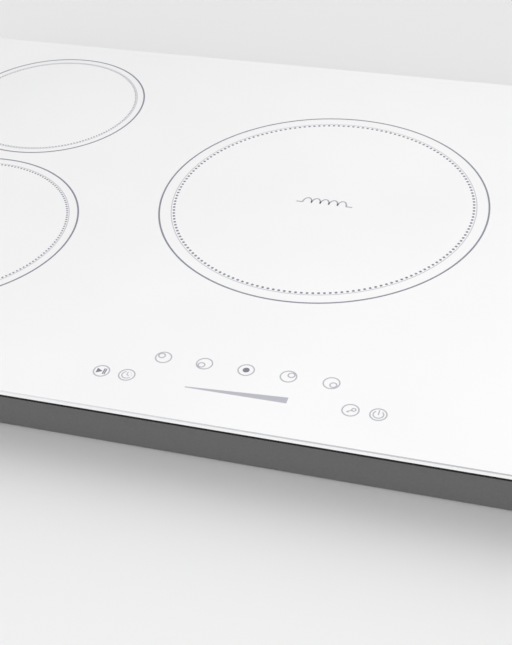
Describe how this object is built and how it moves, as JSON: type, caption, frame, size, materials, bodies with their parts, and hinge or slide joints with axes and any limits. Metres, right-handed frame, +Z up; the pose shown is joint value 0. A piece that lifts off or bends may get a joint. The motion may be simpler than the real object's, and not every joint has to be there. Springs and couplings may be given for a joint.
{
  "type": "induction cooktop",
  "caption": "Built-in induction cooktop: a wide white glass plate with round zones and touch controls over a shallow steel tray that holds coils, electronics and fans.",
  "frame": {"origin": "under the centre of the glass, at the level of the tray underside", "axes": "+Z up, -Y is the front edge with the touch controls, +X is the right of a person who stands at the controls"},
  "size_m": [0.9, 0.52, 0.055],
  "materials": {
    "black_silicone": "cured silicone, satin",
    "grey_coated_steel": "dark grey powder coat, fine texture",
    "component_plastic": "moulded cases",
    "nylon": "natural nylon",
    "black_plastic": "moulded, fine spark texture",
    "zinc_screws": "zinc plated",
    "clamp_steel": "zinc plated sheet",
    "carrier_plastic": "glass-filled, matt",
    "deck_aluminium": "rolled sheet",
    "spring_steel": "tempered strip",
    "litz_copper": null,
    "circuit_board": "green solder mask",
    "fan_plastic": "moulded",
    "ferrite": "sintered, matt dark",
    "filter_parts": "moulded cases",
    "galvanised_steel": "galvanised sheet, faint spangle",
    "black_foam": "closed-cell foam, matt",
    "white_glass": "gloss white ceramic glass, polished facet",
    "sink_aluminium": "extruded",
    "led_white": "clear lens",
    "mica": "flaky sheet",
    "ribbon_grey": "flat cable",
    "sensor_plastic": "matt white",
    "terminal_plastic": "moulded",
    "lid_plastic": "moulded, fine spark texture",
    "terminal_brass": "nickel-free brass",
    "wire_insulation": "silicone insulation"
  },
  "bodies": {
    "cooktop": {"adhesive_bead": "black_silicone", "base_tray": "grey_coated_steel", "board_components_left": "component_plastic", "board_components_right": "component_plastic", "board_standoffs": "nylon", "cable_gland": "black_plastic", "cable_saddle": "nylon", "case_screws": "zinc_screws", "clamp_fasteners": "zinc_screws", "coil_carrier_centre": "carrier_plastic", "coil_carrier_front_left": "carrier_plastic", "coil_carrier_front_right": "carrier_plastic", "coil_carrier_rear_left": "carrier_plastic", "coil_carrier_rear_right": "carrier_plastic", "coil_deck": "deck_aluminium", "coil_springs": "spring_steel", "coil_winding_centre": "litz_copper", "coil_winding_front_left": "litz_copper", "coil_winding_front_right": "litz_copper", "coil_winding_rear_left": "litz_copper", "coil_winding_rear_right": "litz_copper", "control_board": "circuit_board", "control_carrier": "black_plastic", "fan_housing_left": "fan_plastic", "fan_housing_right": "fan_plastic", "fan_motor_left": "fan_plastic", "fan_motor_right": "fan_plastic", "ferrite_bars_centre": "ferrite", "ferrite_bars_front_left": "ferrite", "ferrite_bars_front_right": "ferrite", "ferrite_bars_rear_left": "ferrite", "ferrite_bars_rear_right": "ferrite", "filter_board": "circuit_board", "filter_components": "filter_parts", "glass_frame": "galvanised_steel", "glass_seal": "black_foam", "glass_top": "white_glass", "heat_sink_left": "sink_aluminium", "heat_sink_right": "sink_aluminium", "indicator_leds": "led_white", "lid_hinge_pin": "zinc_screws", "mica_discs": "mica", "power_board_left": "circuit_board", "power_board_right": "circuit_board", "power_transistors_left": "black_plastic", "power_transistors_right": "black_plastic", "ribbon_cable": "ribbon_grey", "temperature_sensors": "sensor_plastic", "terminal_block": "terminal_plastic", "terminal_box": "black_plastic", "terminal_screws": "terminal_brass", "touch_pads": "black_foam", "wiring_harness": "wire_insulation"},
    "fan_wheel_left": {"fan_rotor_left": "fan_plastic"},
    "fan_wheel_right": {"fan_rotor_right": "fan_plastic"},
    "clamp_front_left": {"clamp_front_left": "clamp_steel"},
    "clamp_front_right": {"clamp_front_right": "clamp_steel"},
    "clamp_rear_left": {"clamp_rear_left": "clamp_steel"},
    "clamp_rear_right": {"clamp_rear_right": "clamp_steel"},
    "connection_lid": {"terminal_lid": "lid_plastic"}
  },
  "joints": [
    {"name": "fan_left_spin", "type": "hinge", "parent": "cooktop", "child": "fan_wheel_left", "pos_m": [-0.18, -0.15, 0.012], "axis": [0, 0, 1], "continuous": true},
    {"name": "fan_right_spin", "type": "hinge", "parent": "cooktop", "child": "fan_wheel_right", "pos_m": [0.18, -0.15, 0.012], "axis": [0, 0, 1], "continuous": true},
    {"name": "clamp_front_left_swing", "type": "hinge", "parent": "cooktop", "child": "clamp_front_left", "pos_m": [-0.415, -0.172, 0.0147], "axis": [0, 0, 1], "range_deg": [0, 90]},
    {"name": "clamp_front_right_swing", "type": "hinge", "parent": "cooktop", "child": "clamp_front_right", "pos_m": [0.415, -0.172, 0.0147], "axis": [0, 0, -1], "range_deg": [0, 90]},
    {"name": "clamp_rear_left_swing", "type": "hinge", "parent": "cooktop", "child": "clamp_rear_left", "pos_m": [-0.415, 0.172, 0.0147], "axis": [0, 0, -1], "range_deg": [0, 90]},
    {"name": "clamp_rear_right_swing", "type": "hinge", "parent": "cooktop", "child": "clamp_rear_right", "pos_m": [0.415, 0.172, 0.0147], "axis": [0, 0, 1], "range_deg": [0, 90]},
    {"name": "connection_lid_hinge", "type": "hinge", "parent": "cooktop", "child": "connection_lid", "pos_m": [0.35, 0.242, 0.003], "axis": [-1, 0, 0], "range_deg": [0, 90]}
  ]
}
